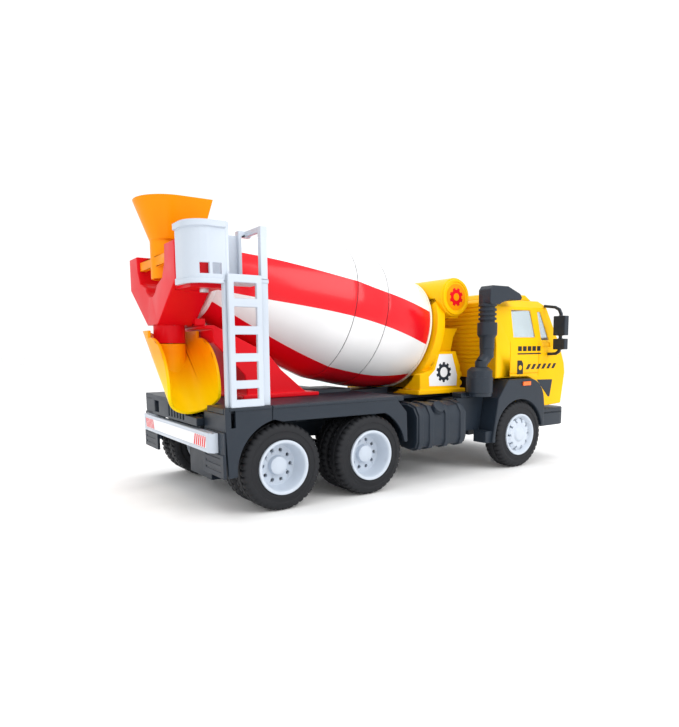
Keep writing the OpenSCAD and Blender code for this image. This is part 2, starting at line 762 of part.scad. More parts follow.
// Chute that swings on the nozzle: a round trough with walls that rise in the middle
module chute() {
    wall = 1.4;
    r = chute_w / 2;
    collar_r = r - 0.1;
    collar_top = 82.3;
    floor_end = [-25.4, 43.7];
    outline = concat(arc(-8.6, 55, 24, 190, 90, 16), [[-7, 79], [-7, collar_top], [0.5, collar_top], [0.5, 60], [-25.4, 43.2]]);
    color([1.0, 0.72, 0.0]) difference() {
        intersection() {
            trough(floor_end, r, r, 30);
            union() {
                end_plate(outline, swivel_x - r, swivel_x + r);
                // Behind the swivel the trough ends in a round collar
                translate([swivel_x, 0, 60]) cylinder(r = collar_r, h = collar_top - 60);
            }
        }
        difference() {
            union() {
                trough(floor_end, r, r - wall, 40);
                translate([swivel_x, 0, 76]) cylinder(r = nozzle_d / 2 + 1.5, h = 10);
            }
            // Hub under the nozzle
            translate([swivel_x, 0, 50]) cylinder(d = nozzle_d, h = 26);
        }
        // Recess for the screw's head, up through the hub from below
        translate([swivel_x, 0, 50]) cylinder(d = 7, h = 24.2);
        translate([swivel_x, 0, 73]) cylinder(d = 3.1 + 2 * fit, h = 4);
    }
}

// The space of radius r round the trough's centre line, and everything above it
module trough(floor_end, trough_r, r, rise) {
    translate([swivel_x, floor_end[0] - trough_r * sin(chute_slope), floor_end[1] + trough_r * cos(chute_slope)])
        rotate([chute_slope - 90, 0, 0]) translate([0, 0, -10])
            linear_extrude(80) polygon(concat(arc(0, 0, r, 0, 180, 24), [[-r, -rise], [r, -rise]]));
}

module chute_screw() {
    color(steel) translate([swivel_x, 0, 0]) difference() {
        union() {
            translate([0, 0, 72.7]) cylinder(d = 6, h = 1.2);
            translate([0, 0, 73]) cylinder(d = 3.1, h = nozzle_z0 - 73);
            translate([0, 0, 73]) cylinder(d = 2, h = 10);
        }
        for (a = [0, 90]) rotate(a) translate([-1.6, -0.3, 72]) cube([3.2, 0.6, 1.3]);
    }
}

// Standing platform on the right with its curved guard and the two tall posts
module platform_guard() {
    // The guard's wall follows a quarter circle between two straight runs
    bend = [-115.4, -46.5];
    out_r = 9;
    in_r = out_r - 1.5;
    module guard_band(grow, z, h, end_x = -108.6) {
        translate([0, 0, z]) linear_extrude(h) polygon(concat(
            [[bend[0] - out_r - grow, -38.6]], arc(bend[0], bend[1], out_r + grow, 180, 270, 10),
            [[end_x, bend[1] - out_r - grow], [end_x, bend[1] - in_r]],
            arc(bend[0], bend[1], in_r, 270, 180, 10), [[bend[0] - in_r, -38.6]]));
    }
    color(silver) difference() {
        union() {
            // Floor
            translate([0, 0, 101.6]) linear_extrude(1.6)
                polygon(concat([[bend[0] - out_r, -37]], arc(bend[0], bend[1], out_r, 180, 270, 10), [[-89, -55.2], [-89, -37]]));
            // Curved wall with windows at its foot, and its thick top and bottom rims
            difference() {
                guard_band(0, 101.6, 22.4);
                for (x = [-119.8, -114.6]) block(x, x + 3.8, -60, -50, 104.2, 108.6);
            }
            guard_band(0.9, 123, 2.6);
            guard_band(0.5, 100.4, 2, -110.2);
            // Posts down to the deck
            block(-110, -107.2, -55.2, -52.4, deck_z, 125.6);
            block(-92.6, -89.4, -55.2, -52.4, deck_z, 125.6);
            // Panel beside the drum and the rail across the front
            block(-108, -94.6, -38.6, -37, 101.6, 123.6);
            block(-96, -94.4, -40.4, -37, 101.6, 125.6);
            side_plate([[-96, 123], [-96, 125.6], [-89.4, 125.6], [-89.4, 123]], -40.4, -37);
            block(-92.6, -90.8, -53, -39, 123.2, 125.6);
        }
        // Pilot hole for the screw from the collector's flange
        translate(flange_screw) cylinder(d = 1.6, h = 3.4);
    }
}

module ladder() {
    rung_zs = [56.4, 67.9, 79.4, 90.9];
    color(silver) union() {
        for (x = [-109, -96]) block(x, x + 2.6, -57.4, -55.5, deck_z, 104.4);
        for (z = rung_zs) block(-107, -95, -57.4, -55.5, z, z + 3.6);
        block(-107, -95, -57.4, -55.5, deck_z, deck_z + 3.4);
        block(-107, -95, -57.4, -55.5, 101, 104.4);
    }
}

// ---- wheels ----

module axle(x) {
    color(steel) y_rod(x, axle_z, axle_d, -wheel_y + 6, wheel_y - 6);
}
module front_axle() axle(front_axle_x);
module mid_axle() axle(mid_axle_x);
module rear_axle() axle(rear_axle_x);

// A wheel in its own frame: +Z points out of the truck, z = 0 is the tyre's outer face
module on_wheel(x, side) {
    translate([x, side * wheel_y, axle_z]) rotate([side * -90, 0, 0]) children();
}

// Deep rim of a tyre pair, with ten round holes round its hub
module dual_rim() {
    depth = 2 * tyre_w + dual_gap;
    r = rim_d / 2;
    color(silver) difference() {
        rotate_extrude($fn = 64) polygon([
            [0, -4.4], [2.6, -4.4], [4.2, -4.8], [4.6, -7.2], [r - 3, -7.6], [r - 2.2, -5], [r - 1.6, 0], [r - 1, 0.6], [r, 0.6],
            [r, -depth], [r - 1.4, -depth], [r - 1.4, -9.4], [4, -9.4], [4, -depth - 3], [0, -depth - 3]]);
        for (i = [0 : 9]) rotate(36 * i) translate([7.2, 0, -12]) cylinder(d = 1.8, h = 8);
        translate([0, 0, -depth - 4]) cylinder(d = axle_d, h = depth - 1.6);
    }
}

// Front rim: the face bulges outwards and has ten slots
module single_rim() {
    r = rim_d / 2;
    color(silver) difference() {
        rotate_extrude($fn = 64) polygon([
            [0, 1], [3.4, 0.6], [4.6, -0.6], [7.6, -0.2], [r - 2.6, -1.6], [r - 1.8, -0.4], [r - 1, 0.6], [r, 0.6],
            [r, -tyre_w], [r - 1.4, -tyre_w], [r - 1.4, -3.2], [4, -2.6], [4, -tyre_w - 3], [0, -tyre_w - 3]]);
        for (i = [0 : 9]) rotate(36 * i) translate([7.2, -0.6, -4]) cube([2.8, 1.2, 6]);
        translate([0, 0, -tyre_w - 4]) cylinder(d = axle_d, h = tyre_w - 1.6);
    }
}

// One tyre with circumferential grooves, its outer face at z = 0
module tyre_body() {
    r = tyre_d / 2;
    color(tyre_black) rotate_extrude($fn = 96) polygon([
        [rim_d / 2, 0], [rim_d / 2 + 1, 0.2], [r - 2, 0], [r - 0.6, -0.8], [r, -2.2],
        [r, -3.6], [r - 0.7, -3.8], [r - 0.7, -4.4], [r, -4.6], [r, 4.6 - tyre_w], [r - 0.7, 4.4 - tyre_w],
        [r - 0.7, 3.8 - tyre_w], [r, 3.6 - tyre_w], [r, 2.2 - tyre_w],
        [r - 0.6, 0.8 - tyre_w], [r - 2, -tyre_w], [rim_d / 2 + 1, -tyre_w - 0.2], [rim_d / 2, -tyre_w]]);
}
module tyre_pair() {
    tyre_body();
    translate([0, 0, -tyre_w - dual_gap]) tyre_body();
}

module rim_front_right() on_wheel(front_axle_x, -1) single_rim();
module rim_front_left() on_wheel(front_axle_x, 1) single_rim();
module rim_mid_right() on_wheel(mid_axle_x, -1) dual_rim();
module rim_mid_left() on_wheel(mid_axle_x, 1) dual_rim();
module rim_rear_right() on_wheel(rear_axle_x, -1) dual_rim();
module rim_rear_left() on_wheel(rear_axle_x, 1) dual_rim();
module tyre_front_right() on_wheel(front_axle_x, -1) tyre_body();
module tyre_front_left() on_wheel(front_axle_x, 1) tyre_body();
module tyres_mid_right() on_wheel(mid_axle_x, -1) tyre_pair();
module tyres_mid_left() on_wheel(mid_axle_x, 1) tyre_pair();
module tyres_rear_right() on_wheel(rear_axle_x, -1) tyre_pair();
module tyres_rear_left() on_wheel(rear_axle_x, 1) tyre_pair();

// ---- friction motor ----

// The idler lies up and ahead of the axle, the flywheel ahead of the idler and a little lower
gear_distance = gear_module * (gear_teeth + pinion_teeth) / 2;
idler_angle = 34;
idler_x = rear_axle_x + gear_distance * cos(idler_angle);
idler_z = axle_z + gear_distance * sin(idler_angle);
flywheel_angle = -20;
flywheel_x = idler_x + gear_distance * cos(flywheel_angle);
flywheel_z = idler_z + gear_distance * sin(flywheel_angle);
axle_gear_y = -5;
idler_gear_y = 1;
gear_w = 3;

// Involute gear outline: flank points lie on the involute of the base circle
pressure = 25;
flank_steps = 4;
backlash = 0.1;
function involute(rb, r) = let (a = acos(min(1, rb / r))) tan(a) * 180 / PI - a;
function tooth(teeth) =
    let (rp = gear_module * teeth / 2, rb = rp * cos(pressure),
        r0 = rp - 1.1 * gear_module, r1 = rp + 0.8 * gear_module,
        rs = max(rb, r0), half = 90 / teeth - backlash / rp * 180 / PI / 2 + involute(rb, rp))
    concat([[r0, -half]], [for (i = [0 : flank_steps]) let (r = rs + (r1 - rs) * i / flank_steps) [r, -half + involute(rb, r)]],
        [for (i = [flank_steps : -1 : 0]) let (r = rs + (r1 - rs) * i / flank_steps) [r, half - involute(rb, r)]],
        [[r0, half]]);
module gear(teeth, phase, width) {
    rotate([90, 0, 0]) linear_extrude(width, center = true)
        polygon([for (k = [0 : teeth - 1], p = tooth(teeth))
            let (a = p[1] + phase + 360 * k / teeth) [p[0] * cos(a), p[0] * sin(a)]]);
}

module axle_gear() {
    color([0.9, 0.9, 0.86]) translate([rear_axle_x, axle_gear_y, axle_z]) difference() {
        gear(gear_teeth, idler_angle, gear_w);
        rotate([90, 0, 0]) cylinder(d = axle_d, h = 10, center = true);
    }
}

module idler_gear() {
    color([0.9, 0.9, 0.86]) translate([idler_x, 0, idler_z]) union() {
        translate([0, axle_gear_y, 0]) gear(pinion_teeth, idler_angle + 180 + 180 / pinion_teeth, gear_w + 0.6);
        translate([0, idler_gear_y, 0]) gear(gear_teeth, flywheel_angle, gear_w);
        translate([0, (axle_gear_y + idler_gear_y) / 2, 0]) rotate([90, 0, 0]) cylinder(d = 4, h = 6, center = true);
        rotate([90, 0, 0]) cylinder(d = 2, h = 22, center = true);
    }
}

module flywheel() {
    color(steel) translate([flywheel_x, 0, flywheel_z]) union() {
        translate([0, idler_gear_y, 0]) gear(pinion_teeth, flywheel_angle + 180 + 180 / pinion_teeth, gear_w + 0.6);
        translate([0, 6, 0]) rotate([90, 0, 0]) cylinder(d = 18, h = 5, center = true);
        rotate([90, 0, 0]) cylinder(d = 2, h = 22, center = true);
    }
}

module motor_housing() {
    x0 = -96;
    x1 = -54.6;
    z0 = 10;
    z1 = 35.6;
    half = 11.8;
    wall = 1.4;
    color([0.2, 0.2, 0.22]) difference() {
        union() {
            difference() {
                block(x0, x1, -half, half, z0, z1);
                block(x0 + wall, x1 - wall, -half + wall, half - wall, z0 + wall, z1 - wall);
            }
            both_sides() block(-93, -77, -13.6, -half, z0 + 2, 22);
        }
        y_rod(rear_axle_x, axle_z, axle_d + 2 * fit, -20, 20);
        y_rod(idler_x, idler_z, 2 + 2 * fit, -20, 20);
        y_rod(flywheel_x, flywheel_z, 2 + 2 * fit, -20, 20);
    }
}

chassis_frame();
underside_cover();
rear_deck();
skirt_right();
skirt_left();
tail_beam();
rear_bumper();
mud_flaps();
side_tank_right();
side_tank_left();
front_fender_right();
front_fender_left();
front_bumper();
reflectors();
cab_shell();
cab_roof();
windscreen();
side_windows();
cab_seats();
steering_wheel();
front_grille();
headlamps();
intake_stack();
air_filter();
mirror_right();
mirror_left();
front_pedestal();
water_tank();
drum_front();
drum_belly();
drum_rear();
drum_shaft();
shaft_bush();
rear_stand();
collector();
hopper();
chute();
chute_screw();
platform_guard();
ladder();
front_axle();
mid_axle();
rear_axle();
rim_front_right();
rim_front_left();
rim_mid_right();
rim_mid_left();
rim_rear_right();
rim_rear_left();
tyre_front_right();
tyre_front_left();
tyres_mid_right();
tyres_mid_left();
tyres_rear_right();
tyres_rear_left();
motor_housing();
axle_gear();
idler_gear();
flywheel();
screws();
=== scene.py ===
"""Looks for the toy cement mixer: moulded plastic parts, a striped drum, ribbed tyres and printed decals.

The script works in metres in the CAD's axes: +X is the truck's front, +Y its left, +Z up. Names that end
in _MM, the profiles of rings and tyres and all sizes of the printed decals are in millimetres.
"""
import json
from math import cos, pi, radians, sin

import bmesh
import bpy
from mathutils import Matrix, Vector

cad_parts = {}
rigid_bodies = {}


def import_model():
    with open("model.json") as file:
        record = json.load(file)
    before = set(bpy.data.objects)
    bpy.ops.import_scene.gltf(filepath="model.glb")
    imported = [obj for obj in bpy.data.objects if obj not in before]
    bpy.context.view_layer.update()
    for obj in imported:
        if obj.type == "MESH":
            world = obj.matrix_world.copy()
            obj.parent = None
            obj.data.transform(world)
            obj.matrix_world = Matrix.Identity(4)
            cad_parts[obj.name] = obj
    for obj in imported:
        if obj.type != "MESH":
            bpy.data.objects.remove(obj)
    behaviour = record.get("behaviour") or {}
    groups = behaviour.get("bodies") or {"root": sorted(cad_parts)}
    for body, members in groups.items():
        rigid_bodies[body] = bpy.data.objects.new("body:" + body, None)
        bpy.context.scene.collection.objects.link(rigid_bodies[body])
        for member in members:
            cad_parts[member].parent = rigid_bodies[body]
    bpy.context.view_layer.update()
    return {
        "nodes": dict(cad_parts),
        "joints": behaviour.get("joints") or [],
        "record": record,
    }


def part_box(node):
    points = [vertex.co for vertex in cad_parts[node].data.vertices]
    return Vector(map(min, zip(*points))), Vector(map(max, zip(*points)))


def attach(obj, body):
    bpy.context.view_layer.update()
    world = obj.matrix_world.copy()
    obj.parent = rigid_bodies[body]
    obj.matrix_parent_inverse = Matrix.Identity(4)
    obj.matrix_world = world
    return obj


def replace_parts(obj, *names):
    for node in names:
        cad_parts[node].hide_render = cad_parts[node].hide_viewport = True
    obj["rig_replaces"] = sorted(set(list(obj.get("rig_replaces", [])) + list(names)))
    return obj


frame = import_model()

MM = 0.001
SIDES = {"right": -1, "left": 1}

# ---- materials ----

SLATE = (0.013, 0.021, 0.033)
CAB_YELLOW = (0.95, 0.51, 0.001)
MIXER_RED = (0.74, 0.004, 0.013)
HOPPER_ORANGE = (0.95, 0.30, 0.001)
CHUTE_YELLOW = (1.0, 0.66, 0.001)
# Painted shade: the orange that the chute's yellow turns to towards its top, standing in for the shadow and
# bounced light in its steep upper trough
CHUTE_PAINTED_SHADE = (1.0, 0.36, 0.001)
SILVER = (0.55, 0.61, 0.69)
DRUM_WHITE = (0.83, 0.83, 0.84)
DRUM_CREAM = (0.86, 0.76, 0.62)
TYRE_BLACK = (0.014, 0.015, 0.018)
STEEL = (0.60, 0.61, 0.63)
NYLON = (0.78, 0.77, 0.70)
INK = (0.012, 0.012, 0.014)
HAZARD_RED = (0.75, 0.01, 0.015)
PAPER = (0.85, 0.86, 0.88)
CLEAR = (0.86, 0.93, 0.97)
AMBER = (1.0, 0.16, 0.01)
INTERIOR = (0.016, 0.016, 0.019)
FLOOR_WHITE = (0.97, 0.97, 0.97)

# Noise scales, from the slow drift of the colour to the fine skin of the plastic
DRIFT_SCALE = 22.0
GLOSS_SCALE = 160.0
SKIN_SCALE = 900.0
TYRE_SKIN_SCALE = 1400.0
SKIN_DEPTH = 0.1 * MM
EDGE_SAMPLES = 4

# The tint goes from its darker to its lighter tone over this span of the noise
TINT_SPAN = (0.30, 0.72)
TINT_TONES = (0.90, 1.05)

# How far patches of a surface are glossier or duller than its roughness
GLOSSIER = 0.05
DULLER = 0.07
LEAST_ROUGHNESS = 0.02
COAT_ROUGHNESS = 0.08

# Heights between which a colour of painted shade takes over, so the top of a part looks shaded
PAINTED_SHADE_HEIGHTS = (54 * MM, 72 * MM)

CLEAR_TRANSMISSION = 0.92
CLEAR_IOR = 1.12


def add_noise(nodes, links, coords, scale, detail):
    noise = nodes.new("ShaderNodeTexNoise")
    noise.inputs["Scale"].default_value = scale
    noise.inputs["Detail"].default_value = detail
    links.new(coords.outputs["Object"], noise.inputs["Vector"])
    return noise.outputs["Fac"]


def add_tint(nodes, links, coords, colour):
    """A colour that drifts slowly between a darker and a lighter tone."""
    tint = nodes.new("ShaderNodeValToRGB")
    for stop, position, tone in zip(tint.color_ramp.elements, TINT_SPAN, TINT_TONES):
        stop.position = position
        stop.color = (*[min(1.0, channel * tone) for channel in colour], 1.0)
    links.new(add_noise(nodes, links, coords, DRIFT_SCALE, 3.0), tint.inputs["Fac"])
    return tint.outputs["Color"]


def add_painted_shade(nodes, links, coords, tint, painted_shade_colour):
    """The tint, blended with height into a colour of painted shade, so the upper part looks as if in shadow.
    """
    place = nodes.new("ShaderNodeSeparateXYZ")
    links.new(coords.outputs["Object"], place.inputs["Vector"])
    share = nodes.new("ShaderNodeMapRange")
    share.inputs["From Min"].default_value, share.inputs["From Max"].default_value = PAINTED_SHADE_HEIGHTS
    links.new(place.outputs["Z"], share.inputs["Value"])
    blend = nodes.new("ShaderNodeMix")
    blend.data_type = "RGBA"
    blend.inputs["B"].default_value = (*painted_shade_colour, 1.0)
    links.new(share.outputs["Result"], blend.inputs["Factor"])
    links.new(tint, blend.inputs["A"])
    return blend.outputs["Result"]


def add_gloss(nodes, links, coords, roughness):
    """A roughness that varies in patches."""
    spread = nodes.new("ShaderNodeMapRange")
    spread.inputs["To Min"].default_value = max(LEAST_ROUGHNESS, roughness - GLOSSIER)
    spread.inputs["To Max"].default_value = roughness + DULLER
    links.new(add_noise(nodes, links, coords, GLOSS_SCALE, 2.0), spread.inputs["Value"])
    return spread.outputs["Result"]


def add_skin(nodes, links, coords, grain, grain_scale, edge_mm):
    """Normals of a finely grained skin, on edges that are softened enough to catch the light."""
    bump = nodes.new("ShaderNodeBump")
    bump.inputs["Strength"].default_value = grain
    bump.inputs["Distance"].default_value = SKIN_DEPTH
    links.new(add_noise(nodes, links, coords, grain_scale, 4.0), bump.inputs["Height"])
    if edge_mm > 0:
        edge = nodes.new("ShaderNodeBevel")
        edge.samples = EDGE_SAMPLES
        edge.inputs["Radius"].default_value = edge_mm * MM
        links.new(edge.outputs["Normal"], bump.inputs["Normal"])
    return bump.outputs["Normal"]


def moulded(name, colour, roughness, grain=0.05, grain_scale=SKIN_SCALE, coat=0.0, edge_mm=0.35,
            metallic=0.0, shine=0.3, painted_shade_colour=None):
    """Moulded material: slow colour drift, patchy gloss, a fine skin texture and edges that catch light.

    The optional shade colour is painted shade: the plastic turns to it towards the top of the part, over the
    painted shade heights, where the part would lie in shadow.
    """
    material = bpy.data.materials.new(name)
    material.use_nodes = True
    material.diffuse_color = (*colour, 1.0)
    nodes, links = material.node_tree.nodes, material.node_tree.links
    shader = nodes["Principled BSDF"]
    coords = nodes.new("ShaderNodeTexCoord")
    tint = add_tint(nodes, links, coords, colour)
    if painted_shade_colour:
        tint = add_painted_shade(nodes, links, coords, tint, painted_shade_colour)
    links.new(tint, shader.inputs["Base Color"])
    links.new(add_gloss(nodes, links, coords, roughness), shader.inputs["Roughness"])
    links.new(add_skin(nodes, links, coords, grain, grain_scale, edge_mm), shader.inputs["Normal"])
    shader.inputs["Metallic"].default_value = metallic
    shader.inputs["Specular IOR Level"].default_value = shine
    shader.inputs["Coat Weight"].default_value = coat
    shader.inputs["Coat Roughness"].default_value = COAT_ROUGHNESS
    return material


def printed(name, colour, roughness):
    """A flat print: nearly no grain, and no softened edges."""
    return moulded(name, colour, roughness, grain=0.02, edge_mm=0.0)


def clear_plastic():
    material = printed("clear_plastic", CLEAR, 0.08)
    shader = material.node_tree.nodes["Principled BSDF"]
    shader.inputs["Transmission Weight"].default_value = CLEAR_TRANSMISSION
    shader.inputs["IOR"].default_value = CLEAR_IOR
    return material


MATERIALS = {
    "slate_plastic": moulded("slate_plastic", SLATE, 0.42, grain=0.10, shine=0.35),
    "cab_yellow": moulded("cab_yellow", CAB_YELLOW, 0.32, shine=0.12),
    "mixer_red": moulded("mixer_red", MIXER_RED, 0.32, shine=0.14),
    "hopper_orange": moulded("hopper_orange", HOPPER_ORANGE, 0.34, shine=0.1),
    # The chute's yellow is painted darker orange towards its top: painted shade
    "chute_yellow": moulded("chute_yellow", CHUTE_YELLOW, 0.32, shine=0.1, painted_shade_colour=CHUTE_PAINTED_SHADE),
    "silver_plastic": moulded("silver_plastic", SILVER, 0.34, coat=0.05),
    "drum_white": moulded("drum_white", DRUM_WHITE, 0.22, grain=0.03, coat=0.15),
    "drum_red": moulded("drum_red", MIXER_RED, 0.22, grain=0.03, coat=0.10),
    "drum_cream": moulded("drum_cream", DRUM_CREAM, 0.30, grain=0.03),
    "tyre": moulded("tyre", TYRE_BLACK, 0.60, grain=0.30, grain_scale=TYRE_SKIN_SCALE, shine=0.25),
    "steel": moulded("steel", STEEL, 0.28, grain=0.08, metallic=1.0),
    "nylon": moulded("nylon", NYLON, 0.42),
    "window_clear": clear_plastic(),
    "lamp_clear": moulded("lamp_clear", PAPER, 0.12, grain=0.02, coat=0.5),
    "reflector_orange": moulded("reflector_orange", AMBER, 0.18, coat=0.5),
    "interior_black": moulded("interior_black", INTERIOR, 0.50, grain=0.15),
    "ink": printed("ink", INK, 0.40),
    "hazard_red": printed("hazard_red", HAZARD_RED, 0.35),
    "paper": printed("paper", PAPER, 0.38),
}

# ---- building pieces ----

# Edges that turn by more than these angles, in degrees, are shaded as sharp or get a round
SHARP_ANGLE = 35.0
ROUNDED_ANGLE = 38.0
# The longest round at an edge, as a share of the shortest edge that meets it
ROUND_SHARE = 0.4
ROUND_SEGMENTS = 3
# CAD facets that meet within this distance and this angle are joined
WELD = 0.002 * MM
FLAT_ANGLE = 0.6
# A face with more corners than this is split into triangles, as a face with holes can't be drawn whole
MOST_CORNERS = 12


def new_piece(name, mesh, body, replaces=()):
    """A piece that rides on a body and stands for the CAD nodes that it hides."""
    piece = bpy.data.objects.new(name, mesh)
    bpy.context.scene.collection.objects.link(piece)
    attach(piece, body)
    if replaces:
        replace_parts(piece, *replaces)
    return piece


def smooth(mesh):
    for polygon in mesh.polygons:
        polygon.use_smooth = True
    mesh.set_sharp_from_angle(angle=radians(SHARP_ANGLE))


def weigh_edges(shape, width):
    """Bevel weights: every sharp edge gets the full width, or less where its neighbours are short."""
    weights = shape.edges.layers.float.new("bevel_weight_edge")
    for edge in shape.edges:
        if len(edge.link_faces) != 2 or edge.calc_face_angle(0.0) < radians(ROUNDED_ANGLE):
            continue
        shortest = min(near.calc_length() for corner in edge.verts for near in corner.link_edges)
        edge[weights] = min(1.0, ROUND_SHARE * shortest / width)


def bevel(piece, width):
    modifier = piece.modifiers.new("edges", "BEVEL")
    modifier.width = width
    modifier.segments = ROUND_SEGMENTS
    modifier.limit_method = "WEIGHT"
    modifier.harden_normals = True
    modifier.use_clamp_overlap = False


def body_of(node):
    bodies = frame["record"]["behaviour"]["bodies"]
    return next(body for body, members in bodies.items() if node in members)


def slot_of(node):
    return next(part["material_slot"] for part in frame["record"]["subparts"] if part["node"] == node)


def rounded_node(node, width_mm):
    """The CAD node's shape with real rounded edges, as a piece that stands for it."""
    mesh = frame["nodes"][node].data.copy()
    shape = bmesh.new()
    shape.from_mesh(mesh)
    bmesh.ops.remove_doubles(shape, verts=shape.verts, dist=WELD)
    bmesh.ops.dissolve_limit(
        shape, angle_limit=radians(FLAT_ANGLE), verts=shape.verts, edges=shape.edges)
    pierced = [face for face in shape.faces if len(face.verts) > MOST_CORNERS]
    bmesh.ops.triangulate(shape, faces=pierced)
    weigh_edges(shape, width_mm * MM)
    shape.to_mesh(mesh)
    shape.free()
    mesh.materials.clear()
    mesh.materials.append(MATERIALS[slot_of(node)])
    smooth(mesh)
    piece = new_piece(node + "_shape", mesh, body_of(node), [node])
    bevel(piece, width_mm * MM)


def mesh_from(name, points, faces, materials, face_materials=None):
    mesh = bpy.data.meshes.new(name)
    mesh.from_pydata([tuple(point) for point in points], [], faces)
    for material in materials:
        mesh.materials.append(MATERIALS[material])
    if face_materials:
        mesh.polygons.foreach_set("material_index", face_materials)
    mesh.validate()
    mesh.update()
    smooth(mesh)
    return mesh


def even_angle(columns):
    """Columns of a revolved mesh spread evenly round its axis."""
    return lambda column, height: 2 * pi * column / columns


def first_material(row, column):
    return 0


def plain_radius(row, column, radius):
    return radius


def revolve(name, place, rows, columns, angle_at, materials,
            material_at=first_material, radius_at=plain_radius):
    """A closed profile turned round the Z axis of place.

    rows are (radius, height). angle_at(column, height) lets the columns follow a curve, and radius_at and
    material_at change single corners and faces.
    """
    points, faces, kinds = [], [], []
    for row, (radius, height) in enumerate(rows):
        for column in range(columns):
            angle = angle_at(column, height)
            reach = radius_at(row, column, radius)
            points.append(place @ Vector((reach * cos(angle), reach * sin(angle), height)))
    for row in range(len(rows)):
        here = row * columns
        below = (row + 1) % len(rows) * columns
        for column in range(columns):
            after = (column + 1) % columns
            faces.append((here + column, here + after, below + after, below + column))
            kinds.append(material_at(row, column))
    return mesh_from(name, points, faces, materials, kinds)


# ---- CAD nodes shown with rounded edges ----

# Width of the round on each node's edges
ROUNDED_MM = {
    "cab_shell": 0.7,
    "cab_roof": 0.8,
    "front_bumper": 0.9,
    "side_tank_right": 0.7,
    "side_tank_left": 0.7,
    "front_fender_right": 0.8,
    "front_fender_left": 0.8,
    "skirt_right": 0.35,
    "skirt_left": 0.35,
    "rear_bumper": 0.5,
    "tail_beam": 0.35,
    "mud_flaps": 0.18,
    "front_pedestal": 0.6,
    "water_tank": 0.6,
    "rear_stand": 0.6,
    "collector": 0.5,
    "hopper": 0.3,
    "chute": 0.3,
    "platform_guard": 0.25,
    "ladder": 0.4,
    "intake_stack": 0.5,
    "air_filter": 0.5,
    "mirror_right": 0.5,
    "mirror_left": 0.5,
    "front_grille": 0.25,
    "rear_deck": 0.4,
    "reflectors": 0.2,
    "headlamps": 0.3,
}
for node_name, round_mm in ROUNDED_MM.items():
    rounded_node(node_name, round_mm)

# ---- drum ----

# The drum's own frame: +Z runs along its axis from the flange to the rear, +X points to the truck's right
drum_joint = next(joint for joint in frame["joints"] if joint["name"] == "drum_spin")
drum_axis = Vector(drum_joint["axis"]).normalized()
drum_right = Vector((0, -1, 0))
drum_up = drum_axis.cross(drum_right)
drum_turn = Matrix((drum_right, drum_up, drum_axis)).transposed().to_4x4()
DRUM = Matrix.Translation(drum_joint["pos_m"]) @ drum_turn

FLANGE_R = 33.0 * MM
FRONT_R = FLANGE_R - 0.6 * MM
BELLY_R = 38.7 * MM
NECK_R = 20.0 * MM
CONE_L = 38.0 * MM
BELLY_L = 21.0 * MM
DRUM_L = 130.0 * MM
REAR_BULGE = 1.6 * MM
SHELL = 1.6 * MM
# The front shell starts behind the flange's lip, and a narrow gap parts the shells
SHELL_START = 0.6 * MM
SEAM = 0.15 * MM
BELLY_END = CONE_L + BELLY_L

# The round at a shell's end: shares of SHELL_LIP along the axis and inwards
SHELL_LIP = 0.35 * MM
LIP_ROUND = [(0.0, 1.0), (0.3, 0.3), (1.0, 0.0)]

ARC_COLUMNS = 7
RING_COLUMNS = 96


def drum_radius(s):
    """Outside of the drum at distance s from its flange: a rounded front cone, a belly and a rear cone."""
    if s <= CONE_L:
        return FRONT_R + (BELLY_R - FRONT_R) * sin(pi / 2 * s / CONE_L)
    if s <= BELLY_END:
        return BELLY_R
    share = (s - BELLY_END) / (DRUM_L - BELLY_END)
    return BELLY_R + (NECK_R - BELLY_R) * share + REAR_BULGE * sin(pi * share)


def bent_edge(centre, bend, middle_mm, reach_mm):
    """A stripe's edge in degrees round the drum, bending away from its middle along the axis."""
    return lambda s: centre + bend * ((s / MM - middle_mm) / reach_mm) ** 2


# Red stripes round the drum: lower and upper edge, counted up from the truck's right side
STRIPES = [
    (bent_edge(-7, -6, 50, 50), bent_edge(20, 8, 35, 65)),
    (bent_edge(80, 6, 50, 50), bent_edge(112, 6, 40, 60)),
    (bent_edge(150, 4, 50, 50), bent_edge(182, 4, 50, 50)),
    (bent_edge(210, -4, 50, 50), bent_edge(238, 4, 50, 50)),
    (bent_edge(270, -3, 50, 50), bent_edge(305, 8, 50, 55)),
]
stripe_edges = [edge for stripe in STRIPES for edge in stripe]


def drum_angle(column, s):
    """Angle of a mesh column. The columns share out each stripe and each gap, so colours meet on an edge."""
    span, step = divmod(column, ARC_COLUMNS)
    turns, following = divmod(span + 1, len(stripe_edges))
    low = stripe_edges[span](s)
    high = stripe_edges[following](s) + 360 * turns
    return radians(low + (high - low) * step / ARC_COLUMNS)


def drum_shell(name, node, s0, s1, steps):
    """One moulded shell of the drum from s0 to s1, striped outside, with a small round at each end."""
    stations = [(s0 + SHELL_LIP * along, SHELL_LIP * inward) for along, inward in LIP_ROUND]
    stations += [(s0 + (s1 - s0) * i / steps, 0.0) for i in range(1, steps)]
    stations += [(s1 - SHELL_LIP * along, SHELL_LIP * inward) for along, inward in reversed(LIP_ROUND)]
    outside = [(drum_radius(s) - drop, s) for s, drop in stations]
    inside = [(drum_radius(s) - SHELL, s) for s in (s1, s0)]

    def stripe(row, column):
        """Material 1 (red) on every other span of the outside, material 0 (white) elsewhere."""
        return 1 if row < len(outside) - 1 and column // ARC_COLUMNS % 2 == 0 else 0

    mesh = revolve(name, DRUM, outside + inside, ARC_COLUMNS * len(stripe_edges), drum_angle,
                   ["drum_white", "drum_red"], material_at=stripe)
    new_piece(name, mesh, "drum", [node])


